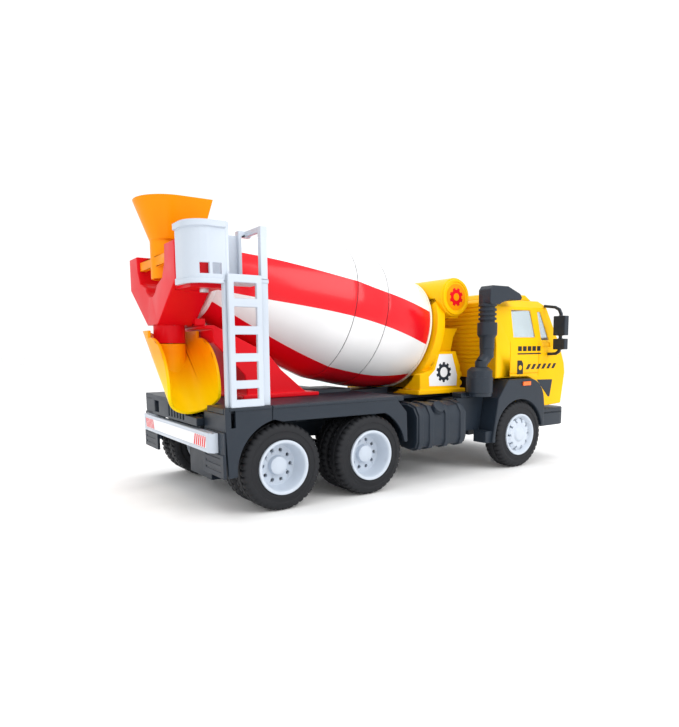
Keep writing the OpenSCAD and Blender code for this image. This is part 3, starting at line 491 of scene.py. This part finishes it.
def ring(name, profile, material, s=0.0):
    """A ring of the drum. Its profile is (radius, distance behind s) in mm."""
    rows = [(radius * MM, height * MM) for radius, height in profile]
    place = DRUM @ Matrix.Translation((0, 0, s))
    mesh = revolve(name, place, rows, RING_COLUMNS, even_angle(RING_COLUMNS), [material])
    new_piece(name, mesh, "drum")


drum_shell("drum_front_shell", "drum_front", SHELL_START, CONE_L - SEAM, steps=14)
drum_shell("drum_belly_shell", "drum_belly", CONE_L + SEAM, BELLY_END - SEAM, steps=4)
drum_shell("drum_rear_shell", "drum_rear", BELLY_END + SEAM, DRUM_L, steps=22)

# Rounded cream lip, and the dished front wall with its boss
ring("drum_flange_lip", [
    (30.8, 0.3), (31.4, 0.0), (32.9, 0.0), (33.35, 0.4), (33.4, 0.9), (33.2, 1.5), (32.0, 1.6), (30.8, 1.6),
], "drum_cream")
ring("drum_front_wall", [
    (0.6, 0.1), (6.0, 0.1), (6.4, 0.6), (9.0, 0.9), (27.0, 0.9), (31.0, 0.3), (31.6, 1.0), (31.0, 2.0),
    (6.0, 2.0), (6.0, 12.0), (0.6, 12.0),
], "drum_white")

# Seam fillers keep the joint lines dark and shallow
SEAM_HALF_MM = 0.5
SEAM_TOP_MM = BELLY_R / MM - 0.35
SEAM_FOOT_MM = BELLY_R / MM - 1.5
SEAM_PROFILE = [
    (SEAM_TOP_MM, -SEAM_HALF_MM), (SEAM_TOP_MM, SEAM_HALF_MM),
    (SEAM_FOOT_MM, SEAM_HALF_MM), (SEAM_FOOT_MM, -SEAM_HALF_MM),
]
ring("drum_seam_front", SEAM_PROFILE, "slate_plastic", CONE_L)
ring("drum_seam_rear", SEAM_PROFILE, "slate_plastic", BELLY_END)

# Rolled rear edge, and the rear wall with the journal that turns in the collector
ring("drum_rear_roll", [
    (18.5, 0.0), (20.4, 0.0), (21.0, -0.5), (21.2, -1.4), (21.0, -2.5), (20.2, -3.0), (18.5, -2.6),
], "drum_white", DRUM_L)
ring("drum_rear_wall", [
    (0.5, 7.4), (3.6, 7.4), (4.0, 7.0), (4.0, -1.4), (18.8, -1.4), (18.8, -3.0), (0.5, -3.0),
], "drum_white", DRUM_L)

# ---- wheels ----

TYRE_R_MM = 20.0
TYRE_W_MM = 11.4
RIM_R_MM = 12.5
RIM_ROUND_MM = 0.25
# Twin tyres stand a little inside their node's outer face, with a gap between them
TWIN_INSET_MM = 0.2
TWIN_GAP_MM = 1.2

# Half of a tyre's section, as distances from the bore (sidewall) or from the tread (shoulder and groove),
# each with its depth behind the tyre's face
SIDEWALL = [(0.0, 0.5), (0.5, 0.1), (1.4, 0.0), (1.8, 0.25), (3.6, 0.25), (3.9, 0.0)]
SHOULDER = [(1.9, 0.1), (0.8, 0.55), (0.15, 1.5), (0.0, 2.3), (0.0, 3.6)]
GROOVE = [(0.8, 3.75), (0.8, 4.25), (0.0, 4.4)]

# Lugs are cut into the shoulder's rows past its first one, over one column of every few
TREAD_LUGS = 40
COLUMNS_PER_LUG = 4
LUG_DEPTH = 0.75 * MM
FIRST_LUG_ROW = len(SIDEWALL) + 1
LAST_LUG_ROW = len(SIDEWALL) + len(SHOULDER) - 1


def wheel_place(node, side):
    """The wheel's own frame: +Z points out of the truck, the tyre's outer face is at height 0."""
    low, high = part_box(node)
    centre = (low + high) / 2
    face = high.y if side > 0 else low.y
    return Matrix.Translation((centre.x, face, centre.z)) @ Matrix.Rotation(radians(-90 * side), 4, "X")


def tyre(name, place, body, node, inset_mm):
    """A tyre with a bulged sidewall, a moulded ring, three ribs and lugs cut into both shoulders."""
    half = [(RIM_R_MM + up, depth) for up, depth in SIDEWALL]
    half += [(TYRE_R_MM - down, depth) for down, depth in SHOULDER + GROOVE]
    section = half + [(radius, TYRE_W_MM - depth) for radius, depth in reversed(half)]
    rows = [(radius * MM, -(depth + inset_mm) * MM) for radius, depth in section]
    lug_rows = set(range(FIRST_LUG_ROW, LAST_LUG_ROW + 1))
    lug_rows |= {len(rows) - 1 - row for row in lug_rows}

    def lug_radius(row, column, radius):
        cut = row in lug_rows and column % COLUMNS_PER_LUG == COLUMNS_PER_LUG - 1
        return radius - LUG_DEPTH if cut else radius

    columns = TREAD_LUGS * COLUMNS_PER_LUG
    mesh = revolve(name, place, rows, columns, even_angle(columns), ["tyre"], radius_at=lug_radius)
    new_piece(name, mesh, body, [node])


for axle in ("front", "mid", "rear"):
    for side_name, side in SIDES.items():
        body = axle + "_wheels"
        rounded_node("rim_%s_%s" % (axle, side_name), RIM_ROUND_MM)
        if axle == "front":
            node = "tyre_front_" + side_name
            tyre(node + "_tread", wheel_place(node, side), body, node, 0.0)
        else:
            node = "tyres_%s_%s" % (axle, side_name)
            place = wheel_place(node, side)
            tyre(node + "_outer", place, body, node, TWIN_INSET_MM)
            tyre(node + "_inner", place, body, node, TWIN_INSET_MM + TYRE_W_MM + TWIN_GAP_MM)

# ---- printed decals and small trim ----

# How far a decal stands out, and how much further the prints on top of it do
DECAL_MM = 0.12
EYE_MM = 0.05
LAYER_MM = 0.06
CIRCLE_STEPS = 28

# One tooth of a cog: shares of the pitch, and its reach as a share of the cog's radius
COG_TOOTH = [(0.0, 0.8), (0.18, 0.8), (0.28, 1.0), (0.72, 1.0), (0.82, 0.8)]


def on_side(depth, along, height):
    """A plate's point where depth runs across the truck and the outline lies in XZ."""
    return Vector((along, depth, height)) * MM


def on_rear(depth, along, height):
    """A plate's point where depth runs along the truck and the outline lies in YZ."""
    return Vector((depth, along, height)) * MM


def plate(name, outline, start, end, material, point=on_side):
    """A thin plate with this outline, from depth start to depth end."""
    points = [point(depth, along, height) for depth in (start, end) for along, height in outline]
    n = len(outline)
    faces = [tuple(range(n)), tuple(range(2 * n - 1, n - 1, -1))]
    faces += [(i, n + i, n + (i + 1) % n, (i + 1) % n) for i in range(n)]
    mesh = mesh_from(name, points, faces, [material])
    shape = bmesh.new()
    shape.from_mesh(mesh)
    bmesh.ops.recalc_face_normals(shape, faces=shape.faces)
    shape.to_mesh(mesh)
    shape.free()
    new_piece(name, mesh, "chassis")


def slanted(start, width, low, high, lean=0.0):
    """A bar from height low to high, whose top is shifted by lean."""
    return [(start, low), (start + width, low), (start + width + lean, high), (start + lean, high)]


def circle(centre, radius, steps=CIRCLE_STEPS):
    angles = [2 * pi * i / steps for i in range(steps)]
    return [(centre[0] + radius * cos(angle), centre[1] + radius * sin(angle)) for angle in angles]


def cog(centre, radius, teeth):
    """A plain cog: a generic mark for the stickers."""
    outline = []
    for tooth in range(teeth):
        for share, reach in COG_TOOTH:
            angle = 2 * pi * (tooth + share) / teeth
            outline.append((centre[0] + radius * reach * cos(angle), centre[1] + radius * reach * sin(angle)))
    return outline


# Marks on the cab's door: a row of leaning bars, a row of blocks over a line, a plain emblem and a dark
# panel at the front corner. X and Z in mm.
BARS = 6
BAR_X, BAR_PITCH, BAR_W, BAR_LEAN = 88.2, 5.05, 2.6, 2.4
BAR_LOW, BAR_HIGH = 59.0, 62.2
BLOCKS = 5
BLOCK_X, BLOCK_PITCH, BLOCK_W = 80.6, 4.5, 3.4
BLOCK_LOW, BLOCK_HIGH = 70.2, 73.2
LINE_X, LINE_W = 80.2, 22.2
LINE_LOW, LINE_HIGH = 68.2, 69.0
EMBLEM = [(80.2, 56.2), (85.6, 56.2), (85.6, 62.6), (84.2, 64.6), (80.2, 64.6)]
EMBLEM_CENTRE = (82.9, 60.2)
EMBLEM_EYE_R = 1.5
CORNER_PANEL = [(99.2, 52.3), (114.8, 51.9), (112.4, 41.0), (110.8, 41.0)]


def cab_marks(side_name, side):
    _, cab_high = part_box("cab_shell")
    face = side * cab_high.y / MM
    proud = face + side * DECAL_MM
    for i in range(BARS):
        bar = slanted(BAR_X + BAR_PITCH * i, BAR_W, BAR_LOW, BAR_HIGH, BAR_LEAN)
        plate("cab_bar_%s_%d" % (side_name, i), bar, face, proud, "ink")
    for i in range(BLOCKS):
        block = slanted(BLOCK_X + BLOCK_PITCH * i, BLOCK_W, BLOCK_LOW, BLOCK_HIGH)
        plate("cab_block_%s_%d" % (side_name, i), block, face, proud, "ink")
    plate("cab_line_" + side_name, slanted(LINE_X, LINE_W, LINE_LOW, LINE_HIGH), face, proud, "ink")
    plate("cab_emblem_" + side_name, EMBLEM, face, proud, "ink")
    plate("cab_emblem_eye_" + side_name, circle(EMBLEM_CENTRE, EMBLEM_EYE_R), face, proud + side * EYE_MM,
          "cab_yellow")
    plate("cab_corner_" + side_name, CORNER_PANEL, face, proud, "slate_plastic")


# The tank's mark stands in the shallow recess of the tank's end, in three layers
TANK_RECESS_MM = 0.4
TANK_DISC_R = 7.6
TANK_DISC_STEPS = 40
TANK_COG_R = 5.4
TANK_COG_TEETH = 8
TANK_EYE_R = 2.2
TANK_LAYERS_MM = (0.15, 0.25, 0.35)


def tank_marks(side_name, side):
    low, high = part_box("water_tank")
    middle = (low + high) / 2 / MM
    centre = (middle.x, middle.z)
    floor_y = side * (high.y / MM - TANK_RECESS_MM)
    disc_y, cog_y, eye_y = [floor_y + side * layer for layer in TANK_LAYERS_MM]
    disc = circle(centre, TANK_DISC_R, TANK_DISC_STEPS)
    plate("tank_disc_" + side_name, disc, floor_y, disc_y, "hopper_orange")
    plate("tank_mark_" + side_name, cog(centre, TANK_COG_R, TANK_COG_TEETH), floor_y, cog_y, "mixer_red")
    plate("tank_mark_eye_" + side_name, circle(centre, TANK_EYE_R), floor_y, eye_y, "hopper_orange")


# The label on the pedestal's foot, with a cog on it
PEDESTAL_SIDE_MM = 34.6
PEDESTAL_LABEL = [
    (25.2, 50.6), (47.2, 50.0), (47.6, 56.5), (43.2, 69.0), (32.9, 69.0), (29.6, 60.0), (24.8, 56.0),
]
PEDESTAL_CENTRE = (36.6, 58.4)
PEDESTAL_COG_R = 6.0
PEDESTAL_COG_TEETH = 10
PEDESTAL_EYE_R = 3.0


def pedestal_marks(side_name, side):
    face = side * PEDESTAL_SIDE_MM
    label_y, cog_y, eye_y = [face + side * (DECAL_MM + LAYER_MM * layer) for layer in range(3)]
    wheel = cog(PEDESTAL_CENTRE, PEDESTAL_COG_R, PEDESTAL_COG_TEETH)
    plate("pedestal_label_" + side_name, PEDESTAL_LABEL, face, label_y, "paper")
    plate("pedestal_cog_" + side_name, wheel, face, cog_y, "slate_plastic")
    plate("pedestal_cog_eye_" + side_name, circle(PEDESTAL_CENTRE, PEDESTAL_EYE_R), face, eye_y, "paper")


# The band lies in the rear bumper's shallow recess, with leaning hazard bars at both ends
BAND_RECESS_MM = 0.25
BAND_THICK_MM = 0.05
BAND_HALF_MM = 44.8
BAND_LOW, BAND_HIGH = 30.2, 35.6
HAZARDS = 6
HAZARD_Y, HAZARD_PITCH, HAZARD_W, HAZARD_LEAN = 30.0, 2.4, 1.3, 1.6
HAZARD_LOW, HAZARD_HIGH = 30.4, 35.4


def bumper_marks():
    bumper_low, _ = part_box("rear_bumper")
    floor_x = bumper_low.x / MM + BAND_RECESS_MM
    band = slanted(-BAND_HALF_MM, 2 * BAND_HALF_MM, BAND_LOW, BAND_HIGH)
    plate("bumper_band", band, floor_x - BAND_THICK_MM, floor_x, "paper", on_rear)
    for side_name, side in SIDES.items():
        for i in range(HAZARDS):
            start = side * (HAZARD_Y + HAZARD_PITCH * i)
            bar = slanted(start, side * HAZARD_W, HAZARD_LOW, HAZARD_HIGH, side * HAZARD_LEAN)
            plate("bumper_hazard_%s_%d" % (side_name, i), bar, floor_x - DECAL_MM, floor_x, "hazard_red",
                  on_rear)


for marks in (cab_marks, tank_marks, pedestal_marks):
    for side_name, side in SIDES.items():
        marks(side_name, side)
bumper_marks()

# ---- CAD nodes that keep their shape take the procedural materials ----

replaced = {n for piece in bpy.data.objects for n in list(piece.get("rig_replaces", []))}
for node_name, node_object in frame["nodes"].items():
    if node_name not in replaced:
        node_object.data.materials.clear()
        node_object.data.materials.append(MATERIALS[slot_of(node_name)])

# ---- stage, light and camera ----

FLOOR_HALF = 6.0
SKY_STRENGTH = 1.08

# Name, place, size in metres and power in watts of each lamp. All of them point at LIT_PLACE.
LIT_PLACE = (0, 0, 0.06)
LIGHTS = [
    ("key", (0.25, -0.80, 0.65), 0.6, 4.2),
    ("fill", (-0.9, -0.35, 0.35), 0.7, 0.5),
    ("top", (0.0, 0.2, 1.0), 0.9, 3.0),
]

# The camera stands low, off the truck's rear right corner. Its angles are in radians.
CAMERA_PLACE = Vector((-0.20896, -0.28478, 0.073995))
CAMERA_TURN = 0.974
CAMERA_DIP = 0.112
CAMERA_ROLL = -0.009
FOCAL_LENGTH = 28.775
SENSOR_WIDTH = 36.0
SHIFT = (0.0013, 0.0666)
NEAREST = 0.01


def studio_floor():
    mesh = bpy.data.meshes.new("floor")
    corners = [(x * FLOOR_HALF, y * FLOOR_HALF, 0) for x, y in ((-1, -1), (1, -1), (1, 1), (-1, 1))]
    mesh.from_pydata(corners, [], [(0, 1, 2, 3)])
    floor = bpy.data.objects.new("floor", mesh)
    bpy.context.scene.collection.objects.link(floor)
    mesh.materials.append(printed("floor_paper", FLOOR_WHITE, 0.75))


def soft_light(name, place, size, power):
    data = bpy.data.lights.new(name, "AREA")
    data.shape = "SQUARE"
    data.size = size
    data.energy = power
    lamp = bpy.data.objects.new(name, data)
    lamp.location = place
    lamp.rotation_euler = (Vector(LIT_PLACE) - Vector(place)).to_track_quat("-Z", "Y").to_euler()
    bpy.context.scene.collection.objects.link(lamp)


def studio_light():
    world = bpy.data.worlds.new("studio")
    world.use_nodes = True
    sky = world.node_tree.nodes["Background"]
    sky.inputs["Color"].default_value = (1.0, 1.0, 1.0, 1.0)
    sky.inputs["Strength"].default_value = SKY_STRENGTH
    bpy.context.scene.world = world
    for name, place, size, power in LIGHTS:
        soft_light(name, place, size, power)


def camera_matrix():
    """The camera's place and turn: it looks along its own -Z, rolled about that line."""
    reach = cos(CAMERA_DIP)
    forward = Vector((cos(CAMERA_TURN) * reach, sin(CAMERA_TURN) * reach, -sin(CAMERA_DIP)))
    level = forward.cross(Vector((0, 0, 1))).normalized()
    upright = level.cross(forward)
    right = cos(CAMERA_ROLL) * level + sin(CAMERA_ROLL) * upright
    up = -sin(CAMERA_ROLL) * level + cos(CAMERA_ROLL) * upright
    return Matrix.Translation(CAMERA_PLACE) @ Matrix((right, up, -forward)).transposed().to_4x4()


def studio_camera():
    data = bpy.data.cameras.new("camera")
    data.lens = FOCAL_LENGTH
    data.sensor_width = SENSOR_WIDTH
    data.shift_x, data.shift_y = SHIFT
    data.clip_start = NEAREST
    camera = bpy.data.objects.new("camera", data)
    camera.matrix_world = camera_matrix()
    bpy.context.scene.collection.objects.link(camera)
    bpy.context.scene.camera = camera


bpy.context.scene.view_settings.view_transform = "Standard"
studio_floor()
studio_light()
studio_camera()
